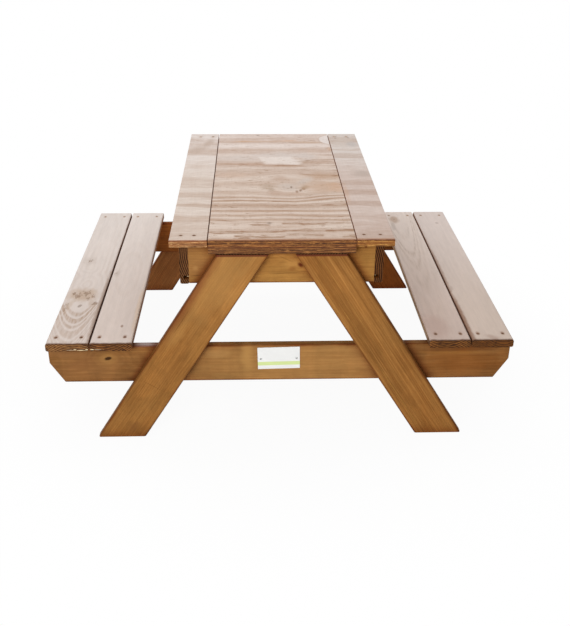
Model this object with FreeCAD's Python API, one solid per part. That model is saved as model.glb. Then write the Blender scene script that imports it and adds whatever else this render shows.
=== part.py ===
import FreeCAD, Part
import math
import os

os.makedirs("parts", exist_ok=True)

V = FreeCAD.Vector

# A child's A-frame picnic table with two fixed benches. The middle of the tabletop is a loose
# plywood lid that lifts off a shallow play box. All sizes are millimetres.
# The origin is on the floor under the middle of the table. +X runs to the right across the two
# benches, +Y runs from the front end to the back end, and +Z is up.

# Overall sizes
table_height = 485.0        # floor to tabletop
table_width = 467.0         # tabletop, across the benches
table_length = 790.0        # tabletop, along the benches
bench_height = 245.5        # floor to seat
bench_span = 1025.0         # outer edge of one bench to outer edge of the other

# Stock that the pieces are cut from
board_width = 91.5          # planed softwood board of the frame
board_thickness = 19.0
seat_board_width = 91.5     # and of the benches
seat_board_thickness = 18.0
board_ease = 4.0            # rounding of a board's long edges
ply_thickness = 15.0        # tabletop plywood
ply_arris = 0.8             # arris taken off the plywood's upper edges

# Tabletop
strip_width = 78.0          # fixed side strip
strip_overhang = 18.0       # side strip beyond the outer face of the box side
lid_gap = 2.0               # lid to each side strip
batten_height = 15.0        # batten under each end of the lid
batten_clearance = 1.5      # batten to the box end that it hooks over

# Play box
groove_lip = 10.5           # wood left under the groove
groove_height = 8.0
groove_depth = 11.0
base_thickness = 5.0        # loose base panel
base_engagement = 6.0       # base panel's reach into each groove

# Legs
leg_lean = 32.0             # degrees from upright
leg_top_x = 27.5            # middle of the table to a leg's inner top corner
leg_top_gap = 2.5           # leg top to the lid's batten
leg_corner = 2.0            # rounding of a leg's sawn corners
leg_corner_relief = 0.4     # the rounding's centre is this much further out than a true tangent arc

# Benches and cross rails
bench_gap = 3.5             # between the two boards of a bench
bench_overhang = 20.0       # bench board beyond the cross rail's outer face
rail_cut_run = 31.0         # slanted cut under each end of a rail, along the rail
rail_cut_rise = 51.0        # the same cut, up the rail

# Countersunk wood screws, drawn with flat sides because there are so many
screw_sides = 12
head_diameter = 8.0
shank_diameter = 4.0
point_length = 4.0
head_sink = 0.2             # head below the wood
screw_clearance = 0.05      # radial, screw to its hole
bench_screw_inset = 18.0    # from a bench board's long edges
bench_screw_bite = 21.0     # into the rail
strip_screw_inset = 16.0    # inner screw, from the side strip's inner edge
strip_screw_bite = 25.0     # into the box
strip_screw_drift = {"front left": (4.5, 11.5)}  # outer and inner screw driven this much further out
corner_screw_bite = 26.0    # into the box end
box_screw_height = 30.0     # lower row, above the box's bottom edge
box_screw_pitch = 25.0      # lower row to upper row
rail_screw_pitch = 40.0     # between the two screws of a leg at the rail
leg_screw_cover = 6.0       # wood left beyond a leg screw's point

# Name plate on the front rail
plate_width = 94.0
plate_height = 54.5
plate_thickness = 1.2
plate_x = -5.5              # plate's middle, from the table's middle
plate_rise = 58.3           # plate's middle, above the rail's bottom edge
plate_tilt = 1.2            # degrees, right-hand side up
plate_screw_spacing = 80.0
plate_screw_drop = 1.2      # screws below the plate's middle
plate_head_diameter = 5.5
plate_head_height = 1.6
plate_shank_diameter = 3.0
plate_screw_bite = 10.0     # into the rail

# Heights
box_top_z = table_height - ply_thickness
box_bottom_z = box_top_z - board_width
batten_bottom_z = box_top_z - batten_height
leg_top_z = batten_bottom_z - leg_top_gap
groove_z = box_bottom_z + groove_lip
rail_top_z = bench_height - seat_board_thickness
rail_bottom_z = rail_top_z - board_width

# Widths, from the middle of the table
top_x = table_width / 2
strip_inner_x = top_x - strip_width
lid_x = strip_inner_x - lid_gap
side_outer_x = top_x - strip_overhang
side_inner_x = side_outer_x - board_thickness
bench_outer_x = bench_span / 2

# Lengths, from the middle of the table: the legs' outer faces are flush with the tabletop's ends
top_y = table_length / 2
frame_outer_y = top_y - board_thickness
frame_inner_y = frame_outer_y - board_thickness
bench_y = frame_outer_y + bench_overhang

# Ends and sides, as signs along Y and X
ENDS = {"front": -1, "rear": 1}
SIDES = {"left": -1, "right": 1}


def block(x, y, z):
    """A box between two limits on each axis, given in either order."""
    low = V(min(x), min(y), min(z))
    return Part.makeBox(max(x) - low.x, max(y) - low.y, max(z) - low.z, low)


def edges_along(shape, direction):
    """The straight edges of a shape that run in a direction."""
    return [edge for edge in shape.Edges if abs(edge.tangentAt(edge.FirstParameter).dot(direction)) > 0.99]


def eased_board(x, y, z, grain):
    """A planed board between two limits on each axis, its four edges along the grain rounded."""
    board = block(x, y, z)
    ease = min(board_ease, 0.45 * board_thickness)
    return board.makeFillet(ease, edges_along(board, grain))


def ply_panel(x, y, z):
    """A plywood panel with the arris taken off its four upper edges."""
    panel = block(x, y, z)
    upper_edges = [edge for edge in panel.Edges if edge.BoundBox.ZMin > max(z) - 0.01]
    return panel.makeChamfer(ply_arris, upper_edges)


def prism(outline, y):
    """A flat outline of (x, z) points, carried from one y to the other."""
    points = [V(px, min(y), pz) for px, pz in outline]
    face = Part.Face(Part.makePolygon(points + points[:1]))
    return face.extrude(V(0, max(y) - min(y), 0))


def faceted(rings):
    """A solid about the Z axis through rings of (radius, z), with flat faces between them.

    The first and last rings have no radius: they are points on the axis.
    """
    def corner(ring, side):
        radius, height = ring
        angle = 2 * math.pi * side / screw_sides
        return V(radius * math.cos(angle), radius * math.sin(angle), height)

    faces = []
    for upper, lower in zip(rings, rings[1:]):
        if upper[1] == lower[1] and 0 in (upper[0], lower[0]):
            rim = [corner(max(upper, lower), side) for side in range(screw_sides + 1)]
            faces.append(Part.Face(Part.makePolygon(rim)))
            continue
        for side in range(screw_sides):
            quad = [corner(upper, side), corner(lower, side),
                    corner(lower, side + 1), corner(upper, side + 1)]
            points = [point for i, point in enumerate(quad) if not point.isEqual(quad[i - 1], 1e-6)]
            faces.append(Part.Face(Part.makePolygon(points + points[:1])))
    return Part.Solid(Part.makeShell(faces))


def aimed(shape, point, direction):
    """The shape, made pointing down from z = 0, set at a point and pointing in a direction."""
    copy = shape.copy()
    copy.Placement = FreeCAD.Placement(point, FreeCAD.Rotation(V(0, 0, -1), direction))
    return copy


def wood_screw(length, grow=0.0, rise=0.0):
    """A countersunk screw, or the hole for it when it is grown all round and its cone is carried up."""
    head_radius = head_diameter / 2
    shank_radius = shank_diameter / 2
    return faceted([
        (0, rise),
        (head_radius + grow + rise, rise),
        (shank_radius + grow, shank_radius - head_radius),
        (shank_radius + grow, point_length - length),
        (0, -length - grow),
    ])


def screw_group(spots, length):
    """The screws at a list of (point on the surface, direction in) pairs, and the holes for them."""
    screw = wood_screw(length)
    hole = wood_screw(length, screw_clearance, 2 * head_sink)
    screws = []
    holes = []
    for point, direction in spots:
        seat = point + direction * head_sink
        screws.append(aimed(screw, seat, direction))
        holes.append(aimed(hole, seat, direction))
    return screws, holes


def drilled(shape, holes):
    """The shape with the holes that reach it cut out."""
    near = [hole for hole in holes if hole.BoundBox.intersect(shape.BoundBox)]
    return shape.cut(near) if near else shape


def leg_centre_x(z):
    """Distance from the middle of the table to a leg's centre line at a height."""
    lean = math.radians(leg_lean)
    return leg_top_x + board_width / math.cos(lean) / 2 + (leg_top_z - z) * math.tan(lean)


# Screw positions
frame_middle_y = (frame_outer_y + frame_inner_y) / 2
side_middle_x = (side_outer_x + side_inner_x) / 2
box_rows = [box_bottom_z + box_screw_height, box_bottom_z + box_screw_height + box_screw_pitch]
rail_middle_z = (rail_top_z + rail_bottom_z) / 2
rail_rows = [rail_middle_z - rail_screw_pitch / 2, rail_middle_z + rail_screw_pitch / 2]
bench_board_x = {"outer": bench_outer_x, "inner": bench_outer_x - seat_board_width - bench_gap}

bench_spots = []
strip_spots = []
corner_spots = []
leg_top_spots = []
leg_rail_spots = []
for end_name, end in ENDS.items():
    for side_name, side in SIDES.items():
        for outer_x in bench_board_x.values():
            for x in (outer_x - bench_screw_inset, outer_x - seat_board_width + bench_screw_inset):
                bench_spots.append((V(side * x, end * frame_middle_y, bench_height), V(0, 0, -1)))
        drifts = strip_screw_drift.get(f"{end_name} {side_name}", (0, 0))
        for x, drift in zip((side_middle_x, strip_inner_x + strip_screw_inset), drifts):
            strip_spots.append((V(side * (x + drift), end * frame_middle_y, table_height), V(0, 0, -1)))
        for z in box_rows:
            corner_spots.append((V(side * side_outer_x, end * frame_middle_y, z), V(-side, 0, 0)))
            leg_top_spots.append((V(side * leg_centre_x(z), end * frame_inner_y, z), V(0, end, 0)))
        for z in rail_rows:
            leg_rail_spots.append((V(side * leg_centre_x(z), end * frame_inner_y, z), V(0, end, 0)))

leg_screw_length = 2 * board_thickness - leg_screw_cover
bench_screws, bench_holes = screw_group(bench_spots, seat_board_thickness + bench_screw_bite)
strip_screws, strip_holes = screw_group(strip_spots, ply_thickness + strip_screw_bite)
corner_screws, corner_holes = screw_group(corner_spots, board_thickness + corner_screw_bite)
leg_top_screws, leg_top_holes = screw_group(leg_top_spots, leg_screw_length)
leg_rail_screws, leg_rail_holes = screw_group(leg_rail_spots, leg_screw_length)

parts = {
    "bench_screws": Part.makeCompound(bench_screws),
    "top_strip_screws": Part.makeCompound(strip_screws),
    "box_corner_screws": Part.makeCompound(corner_screws),
    "leg_top_screws": Part.makeCompound(leg_top_screws),
    "leg_rail_screws": Part.makeCompound(leg_rail_screws),
}


# Lid: a panel with a batten under each end, which hooks over the outside of the box end
def lid_batten(end):
    return block((-lid_x, lid_x), (end * (frame_outer_y + batten_clearance), end * top_y),
                 (batten_bottom_z, box_top_z))


parts["lid_panel"] = ply_panel((-lid_x, lid_x), (-top_y, top_y), (box_top_z, table_height))
for name, end in ENDS.items():
    parts[f"lid_batten_{name}"] = lid_batten(end)


# Fixed side strips of the tabletop
def top_strip(side):
    strip = ply_panel((side * strip_inner_x, side * top_x), (-top_y, top_y), (box_top_z, table_height))
    return drilled(strip, strip_holes)


for name, side in SIDES.items():
    parts[f"top_strip_{name}"] = top_strip(side)


# Play box: the sides run past the ends, and one groove all round holds the base panel
groove_span = (groove_z, groove_z + groove_height)


def box_side(side):
    board = eased_board((side * side_inner_x, side * side_outer_x), (-frame_outer_y, frame_outer_y),
                        (box_bottom_z, box_top_z), V(0, 1, 0))
    groove = block((side * side_inner_x, side * (side_inner_x + groove_depth)),
                   (-frame_outer_y, frame_outer_y), groove_span)
    return drilled(board.cut(groove), strip_holes + corner_holes)


def box_end(end):
    board = eased_board((-side_inner_x, side_inner_x), (end * frame_inner_y, end * frame_outer_y),
                        (box_bottom_z, box_top_z), V(1, 0, 0))
    groove = block((-side_inner_x, side_inner_x),
                   (end * frame_inner_y, end * (frame_inner_y + groove_depth)), groove_span)
    return drilled(board.cut(groove), strip_holes + corner_holes + leg_top_holes)


def box_base():
    half_width = side_inner_x + base_engagement
    half_length = frame_inner_y + base_engagement
    return block((-half_width, half_width), (-half_length, half_length),
                 (groove_z, groove_z + base_thickness))


for name, side in SIDES.items():
    parts[f"box_side_{name}"] = box_side(side)
for name, end in ENDS.items():
    parts[f"box_end_{name}"] = box_end(end)
parts["box_base"] = box_base()


# Legs: boards that lean outwards, sawn level at the foot and under the tabletop
def leg(end, side):
    lean = math.radians(leg_lean)
    foot_x = leg_centre_x(0)
    top_centre_x = leg_centre_x(leg_top_z)
    y_limits = (end * frame_outer_y, end * top_y)

    reach = leg_top_z / math.cos(lean) + board_width
    plank = eased_board((-board_width / 2, board_width / 2), y_limits, (-board_width, reach), V(0, 0, 1))
    plank.rotate(V(0, 0, 0), V(0, 1, 0), -side * leg_lean)
    plank.translate(V(side * foot_x, 0, 0))

    half_slant = (board_width / 2 + leg_corner_relief) / math.cos(lean)
    deep_y = (end * (frame_outer_y - board_thickness), end * (top_y + board_thickness))
    sawn = prism([(side * (foot_x + half_slant), 0), (side * (foot_x - half_slant), 0),
                  (side * (top_centre_x - half_slant), leg_top_z),
                  (side * (top_centre_x + half_slant), leg_top_z)], deep_y)
    sawn = sawn.makeFillet(leg_corner, edges_along(sawn, V(0, 1, 0)))
    return drilled(plank.common(sawn), leg_top_holes + leg_rail_holes)


for end_name, end in ENDS.items():
    for side_name, side in SIDES.items():
        parts[f"leg_{end_name}_{side_name}"] = leg(end, side)


# Name plate: a thin plate with a round-headed screw at each side
def plate_placement():
    middle = V(plate_x, -frame_outer_y, rail_bottom_z + plate_rise)
    return FreeCAD.Placement(middle, FreeCAD.Rotation(V(0, 1, 0), -plate_tilt))


def round_head_screw(grow=0.0):
    """A round-headed screw, or its hole, pointing down from the plate's face at z = 0."""
    head_radius = plate_head_diameter / 2
    shank_radius = plate_shank_diameter / 2 + grow
    length = plate_thickness + plate_screw_bite + grow
    dome = [(head_radius * math.cos(turn), plate_head_height * math.sin(turn))
            for turn in (math.radians(60), math.radians(30), 0)]
    shank = [(shank_radius, 0), (shank_radius, -length)]
    return faceted([(0, plate_head_height), *dome, *shank, (0, -length)])


def plate_group(shape):
    """Copies of a screw or hole at the plate's two screw places."""
    copies = []
    for side in SIDES.values():
        spot = V(side * plate_screw_spacing / 2, -plate_thickness, -plate_screw_drop)
        point = plate_placement().multVec(spot)
        copies.append(aimed(shape, point, V(0, 1, 0)))
    return copies


def name_plate(holes):
    plate = block((-plate_width / 2, plate_width / 2), (-plate_thickness, 0),
                  (-plate_height / 2, plate_height / 2))
    plate.Placement = plate_placement()
    return drilled(plate, holes)


plate_holes = plate_group(round_head_screw(screw_clearance))
parts["name_plate"] = name_plate(plate_holes)
parts["name_plate_screws"] = Part.makeCompound(plate_group(round_head_screw()))


# Cross rails: they carry the benches, and their ends are cut back underneath
def bench_rail(end):
    rail = eased_board((-bench_outer_x, bench_outer_x), (end * frame_inner_y, end * frame_outer_y),
                       (rail_bottom_z, rail_top_z), V(1, 0, 0))
    for side in SIDES.values():
        rail = rail.cut(prism([(side * bench_outer_x, rail_bottom_z),
                               (side * bench_outer_x, rail_bottom_z + rail_cut_rise),
                               (side * (bench_outer_x - rail_cut_run), rail_bottom_z)],
                              (end * frame_inner_y, end * frame_outer_y)))
    return drilled(rail, bench_holes + leg_rail_holes + plate_holes)


for name, end in ENDS.items():
    parts[f"bench_rail_{name}"] = bench_rail(end)


# Bench boards: two to a bench, laid across both rails
def bench_board(side, outer_x):
    board = eased_board((side * (outer_x - seat_board_width), side * outer_x), (-bench_y, bench_y),
                        (rail_top_z, bench_height), V(0, 1, 0))
    return drilled(board, bench_holes)


for side_name, side in SIDES.items():
    for place, outer_x in bench_board_x.items():
        parts[f"bench_board_{side_name}_{place}"] = bench_board(side, outer_x)

for name, shape in parts.items():
    shape.exportStep(f"parts/{name}.step")
    print(name, "solids", len(shape.Solids), "valid", shape.isValid(), "volume", round(shape.Volume))
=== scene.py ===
import math
import random

import bmesh
import bpy
from mathutils import Matrix, Vector


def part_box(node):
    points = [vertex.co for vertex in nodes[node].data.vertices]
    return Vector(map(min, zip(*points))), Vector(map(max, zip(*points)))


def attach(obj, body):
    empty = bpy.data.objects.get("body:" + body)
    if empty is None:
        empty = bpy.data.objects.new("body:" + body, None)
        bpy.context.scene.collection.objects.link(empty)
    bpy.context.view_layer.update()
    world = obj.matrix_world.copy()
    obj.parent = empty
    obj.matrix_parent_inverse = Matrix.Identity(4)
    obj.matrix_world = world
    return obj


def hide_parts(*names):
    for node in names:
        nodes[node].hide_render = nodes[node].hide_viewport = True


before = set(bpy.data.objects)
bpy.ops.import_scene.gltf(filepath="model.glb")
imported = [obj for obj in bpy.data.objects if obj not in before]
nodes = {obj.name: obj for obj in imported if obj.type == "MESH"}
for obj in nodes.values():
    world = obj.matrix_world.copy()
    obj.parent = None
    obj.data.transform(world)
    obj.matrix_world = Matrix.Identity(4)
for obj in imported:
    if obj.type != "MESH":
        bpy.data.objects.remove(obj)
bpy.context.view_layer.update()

# A child's picnic table of stained softwood, its plywood top and bench boards bleached by the sun.
# The frame's axes are +X to the right across the benches, +Y to the rear and +Z up. Lengths are metres,
# but marks on the wood are placed and sized in millimetres, by (x, y) on a board that lies flat and by
# (x, z) on one that stands on edge. Colours are written as they show on a screen, from 0 to 255.

X = Vector((1, 0, 0))
Y = Vector((0, 1, 0))
Z = Vector((0, 0, 1))
MM = 0.001


def tone(red, green, blue):
    """A colour from its 0 to 255 display values."""
    def linear(value):
        value = value / 255
        return value / 12.92 if value <= 0.04045 else ((value + 0.055) / 1.055) ** 2.4
    return (linear(red), linear(green), linear(blue), 1)


def top_of(node):
    """Height of a node's upper face."""
    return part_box(node)[1].z


def dress(node, material):
    """Gives a node its material."""
    slots = nodes[node].data.materials
    slots.clear()
    slots.append(material)


# Materials as arithmetic
class Value:
    """A number, place or colour that varies over a surface, with the arithmetic of plain numbers."""

    def __init__(self, graph, socket):
        self.graph = graph
        self.socket = socket

    def __add__(self, other):
        return self.graph.math("ADD", self, other)

    def __sub__(self, other):
        return self.graph.math("SUBTRACT", self, other)

    def __rsub__(self, other):
        return self.graph.math("SUBTRACT", other, self)

    def __mul__(self, other):
        return self.graph.math("MULTIPLY", self, other)

    def __truediv__(self, other):
        return self.graph.math("DIVIDE", self, other)

    def __pow__(self, power):
        return self.graph.math("POWER", self, power)

    def __abs__(self):
        return self.graph.math("ABSOLUTE", self)


class Graph:
    """Wires one material's nodes. Each call takes numbers, colours or values and gives a value."""

    def __init__(self, name):
        self.material = bpy.data.materials.new(name)
        self.material.use_nodes = True
        self.tree = self.material.node_tree
        self.shader = self.tree.nodes["Principled BSDF"]
        coords = self.tree.nodes.new("ShaderNodeTexCoord")
        self.position = Value(self, coords.outputs["Object"])
        self.normal = Value(self, coords.outputs["Normal"])
        self.x, self.y, self.z = (self.dot(self.position, axis) for axis in (X, Y, Z))

    def put(self, socket, value):
        if isinstance(value, Value):
            self.tree.links.new(value.socket, socket)
        elif socket.type == "VECTOR":
            socket.default_value = value[:3]
        else:
            socket.default_value = value

    def node(self, kind, output, inputs, **settings):
        """One output of a new node, whose inputs are given by name or number."""
        node = self.tree.nodes.new(f"ShaderNode{kind}")
        for name, setting in settings.items():
            setattr(node, name, setting)
        for name, value in inputs.items():
            self.put(node.inputs[name], value)
        return Value(self, node.outputs[output])

    def math(self, operation, *numbers):
        return self.node("Math", 0, dict(enumerate(numbers)), operation=operation)

    def most(self, a, b):
        return self.math("MAXIMUM", a, b)

    def length(self, u, v):
        return self.math("SQRT", u * u + v * v)

    def bell(self, value):
        """1 at 0, falling to 0 on both sides."""
        return self.math("EXPONENT", value * value * -1)

    def smooth(self, value, low, high, start=0, end=1):
        """Goes from start to end as the value goes from low to high."""
        inputs = {"Value": value, "From Min": low, "From Max": high, "To Min": start, "To Max": end}
        return self.node("MapRange", 0, inputs, interpolation_type="SMOOTHSTEP")

    def curve(self, value, points, unit=MM):
        """Height of a line through points, given as {place in units: height}."""
        node = self.tree.nodes.new("ShaderNodeFloatCurve")
        node.mapping.use_clip = False
        line = node.mapping.curves[0]
        places = list(points)
        low, high = places[0], places[-1]
        line.points[0].location = (0, points[low])
        line.points[1].location = (1, points[high])
        for place in places[1:-1]:
            line.points.new((place - low) / (high - low), points[place])
        for point in line.points:
            point.handle_type = "VECTOR"
        node.mapping.update()
        self.put(node.inputs["Value"], (value - low * unit) / ((high - low) * unit))
        return Value(self, node.outputs[0])

    def dot(self, vector, direction):
        return self.node("VectorMath", "Value", {0: vector, 1: direction}, operation="DOT_PRODUCT")

    def point(self, x, y, z):
        return self.node("CombineXYZ", 0, {0: x, 1: y, 2: z})

    def noise(self, vector, detail=2, roughness=0.5, distortion=0):
        """Smooth noise of unit scale, from 0 to 1 and mostly near 0.5."""
        return self.node("TexNoise", 0, {"Vector": vector, "Scale": 1, "Detail": detail,
                                         "Roughness": roughness, "Distortion": distortion})

    def mix(self, factor, a, b, blend="MIX"):
        return self.node("Mix", 2, {0: factor, 6: a, 7: b}, data_type="RGBA", blend_type=blend,
                         clamp_factor=True)

    def shade(self, colour, amount):
        """The colour times a grey amount."""
        return self.node("VectorMath", 0, {0: colour, "Scale": amount}, operation="SCALE")

    def vary(self, colour, noise, amount):
        """The colour, darker and lighter by up to an amount as the noise goes about its middle."""
        return self.shade(colour, self.smooth(noise, 0.28, 0.72, 1 - amount, 1 + amount))

    def openness(self, distance):
        """1 on an open surface, less in a corner or a gap narrower than a distance."""
        return self.node("AmbientOcclusion", "AO", {"Distance": distance}, samples=6)

    def finish(self, colour, roughness, height=None, depth=0, specular=0.12):
        """Sets the surface. height, from 0 to 1, raises it by up to depth metres."""
        self.put(self.shader.inputs["Base Color"], colour)
        self.put(self.shader.inputs["Roughness"], roughness)
        self.shader.inputs["Specular IOR Level"].default_value = specular
        if height is not None:
            bump = self.node("Bump", 0, {"Distance": depth, "Height": height})
            self.put(self.shader.inputs["Normal"], bump)
        return self.material


class Board:
    """A node's own axes: along the grain, across its face and through its depth, from its middle."""

    def __init__(self, graph, node, grain, across):
        self.graph = graph
        self.axes = {"along": grain, "across": across, "depth": grain.cross(across)}
        self.lies_flat = grain.z == 0 and across.z == 0
        self.middle = {}
        self.half = {}
        for name, axis in self.axes.items():
            reaches = [vertex.co.dot(axis) for vertex in nodes[node].data.vertices]
            self.middle[name] = (min(reaches) + max(reaches)) / 2
            self.half[name] = (max(reaches) - min(reaches)) / 2
            setattr(self, name, graph.dot(graph.position, axis) - self.middle[name])
            setattr(self, f"{name}_normal", abs(graph.dot(graph.normal, axis)))

    def place(self, point):
        """How far along and across the board a point of the frame is."""
        return tuple(point.dot(self.axes[name]) - self.middle[name] for name in ("along", "across"))

    def placed(self, marks, sizes=2):
        """Marks with their place in the board's own axes and so many sizes after it, all in metres."""
        for first, second, *rest in marks:
            point = Vector((first, second, 0)) if self.lies_flat else Vector((first, 0, second))
            yield *self.place(point * MM), *(size * MM for size in rest[:sizes]), *rest[sizes:]

    def inset(self, name):
        """How far inside the nearer of the board's two surfaces across one of its axes."""
        return self.half[name] - abs(getattr(self, name))

    def noise(self, seed, along, across, depth=None, **options):
        """Noise with so many waves per metre along the grain, across it and through it."""
        if depth is None:
            depth = across
        vector = self.graph.point(self.along * along + seed, self.across * across, self.depth * depth)
        return self.graph.noise(vector, **options)

    def reach(self, along, across, length, width, turn=0):
        """Distance from a place on the face, in half-lengths along the grain and half-widths across it."""
        u = self.along - along
        v = self.across - across
        if turn:
            cos, sin = math.cos(math.radians(turn)), math.sin(math.radians(turn))
            u, v = u * cos + v * sin, v * cos - u * sin
        return self.graph.length(u / length, v / width)

    def spot(self, along, across, length, width, turn=0):
        """1 at a place on the face, falling to 0 around it."""
        return self.graph.bell(self.reach(along, across, length, width, turn))

    def paint(self, face, patches, ragged, gone, full):
        """The face with ragged patches of colour, each full and gone at so many times its size.

        A patch is (x, y or z, half-length, half-width, turn in degrees, colour, strength).
        """
        g = self.graph
        for along, across, length, width, turn, colour, strength in self.placed(patches):
            reach = self.reach(along, across, length, width, turn) + ragged
            face = g.mix(g.smooth(reach, gone, full, 0, strength), face, colour)
        return face


# Screws, read from the frame
def islands(node):
    """The separate solids of a node, each as a list of its corner points."""
    mesh = bmesh.new()
    mesh.from_mesh(nodes[node].data)
    bmesh.ops.remove_doubles(mesh, verts=mesh.verts, dist=1e-6)
    left = set(mesh.verts)
    groups = []
    while left:
        start = left.pop()
        group, edge = [start], [start]
        while edge:
            for link in edge.pop().link_edges:
                for vertex in link.verts:
                    if vertex in left:
                        left.remove(vertex)
                        group.append(vertex)
                        edge.append(vertex)
        groups.append([vertex.co.copy() for vertex in group])
    mesh.free()

    def first_corner(points):
        corner = min(points, key=lambda point: (point.y, point.x, point.z))
        return tuple(round(value, 4) for value in corner)

    return sorted(groups, key=first_corner)


class Screw:
    """Where one screw of the frame stands: its head's middle, the way it points, and its sizes."""

    def __init__(self, points):
        low = Vector([min(point[i] for point in points) for i in range(3)])
        high = Vector([max(point[i] for point in points) for i in range(3)])
        middle = (low + high) / 2
        spread = high - low
        line = max(range(3), key=lambda i: spread[i])
        stubby = spread[line] < 1.5 * sorted(spread)[1]
        if stubby and abs(spread[0] - spread[2]) < 0.2 * spread[0]:
            line = 1
        axis = Vector([1 if i == line else 0 for i in range(3)])
        reach = {}
        for end in (-1, 1):
            face = middle + axis * end * spread[line] / 2
            rim = [p for p in points if abs((p - face).dot(axis)) < 0.25 * spread[line]]
            reach[end] = max(((p - face) - axis * (p - face).dot(axis)).length for p in rim)
        end = 1 if reach[1] > reach[-1] else -1
        self.into = axis * -end
        self.head = middle + axis * end * spread[line] / 2
        self.radius = reach[end]
        self.shank = reach[-end]
        self.length = spread[line]


screws = {node: [Screw(points) for points in islands(node)] for node in nodes if "screws" in node}


def screws_in(node):
    """The screws whose heads stand in a node's upper face."""
    low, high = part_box(node)
    return [screw for group in screws.values() for screw in group
            if abs(screw.into.z) > 0.5 and low.x < screw.head.x < high.x and low.y < screw.head.y < high.y
            and abs(screw.head.z - high.z) < MM]


# Planed timber. The front legs lean, and so far out from the middle is the plane of their outer edges
LEG_LEAN = math.radians(32)
LEG_EDGE = max(vertex.co.x * math.cos(LEG_LEAN) + vertex.co.z * math.sin(LEG_LEAN)
               for vertex in nodes["leg_front_right"].data.vertices)

# What the stain does to the wood: redder in broad blooms. A dark red that the long arrises are multiplied
# by, and that paints shade in corners and creases, a painted shadow as far as a width beside the legs,
# given with its strength for the left and the right side, and painted shade below the top of a leg
RED_BLOOM = (0.86, 0.76, 0.66, 1)
EDGE_AND_SHADE_RED = (0.44, 0.19, 0.09, 1)
TOP_SHADE = tone(92, 42, 28)
LEG_SHADOW = {-1: (0.016, 0.75), 1: (0.022, 0.7)}
ARRIS_DEPTH = 0.0055
ARRIS_DARKNESS = 0.8
NARROW_SIDE = 0.85


def growth_rings(board, seed, pith, spacing, wander, knots=()):
    """Late wood, from 0 to 1, of rings round a pith that runs beside the board.

    pith is (across, depth) at the board's middle, then how far each drifts per metre along it. The rings
    bend round a knot, given as (along, across, size).
    """
    g = board.graph
    across, depth, across_drift, depth_drift = pith
    u = board.across - across - board.along * across_drift
    v = board.depth - depth - board.along * depth_drift
    drift = board.noise(seed, 2.2, 9, detail=3) - 0.5
    radius = g.length(u, v) + drift * wander
    for along, offset, size in knots:
        radius = radius + board.spot(along, offset, 3 * size, 1.5 * size) * (1.2 * size)
    phase = radius / spacing
    turn = g.math("FRACT", phase)
    late = g.smooth(turn, 0.1, 0.8) * g.smooth(turn, 1, 0.84)
    return late * g.smooth(g.noise(g.point(phase * 0.6, seed, 0)), 0.3, 0.7, 0.4, 1)


def knot_marks(board, knots):
    """How dark each knot is, from 0 to 1, and 0 away from them."""
    g = board.graph
    rough = (board.noise(31, 70, 70) - 0.5) * 0.5
    total = 0
    for along, offset, size in knots:
        core = board.spot(along, offset, 0.66 * size, 0.34 * size, 14)
        total = g.most(g.smooth(core + rough, 0.3, 0.7), total)
    return total


def dark_arris(board):
    """How much darker the long arrises are, falling to nothing a little way onto each face."""
    g = board.graph
    inset = g.most(board.inset("across"), board.inset("depth"))
    rough = (board.noise(91, 12, 40, detail=3) - 0.5) * (1.6 * ARRIS_DEPTH)
    return g.smooth(inset + rough, 0, ARRIS_DEPTH, ARRIS_DARKNESS, 0)


def shadow_beside_legs(g, rough):
    """How much painted shadow falls on a board along the outer edges of the legs that cross it."""
    total = 0
    for side, (width, amount) in LEG_SHADOW.items():
        outward = Vector((side * math.cos(LEG_LEAN), 0, math.sin(LEG_LEAN)))
        away = g.dot(g.position, outward) - LEG_EDGE + rough
        total = g.most(g.smooth(away, -0.01, -0.002) * g.smooth(away, width, 0, 0, amount), total)
    return total


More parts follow.
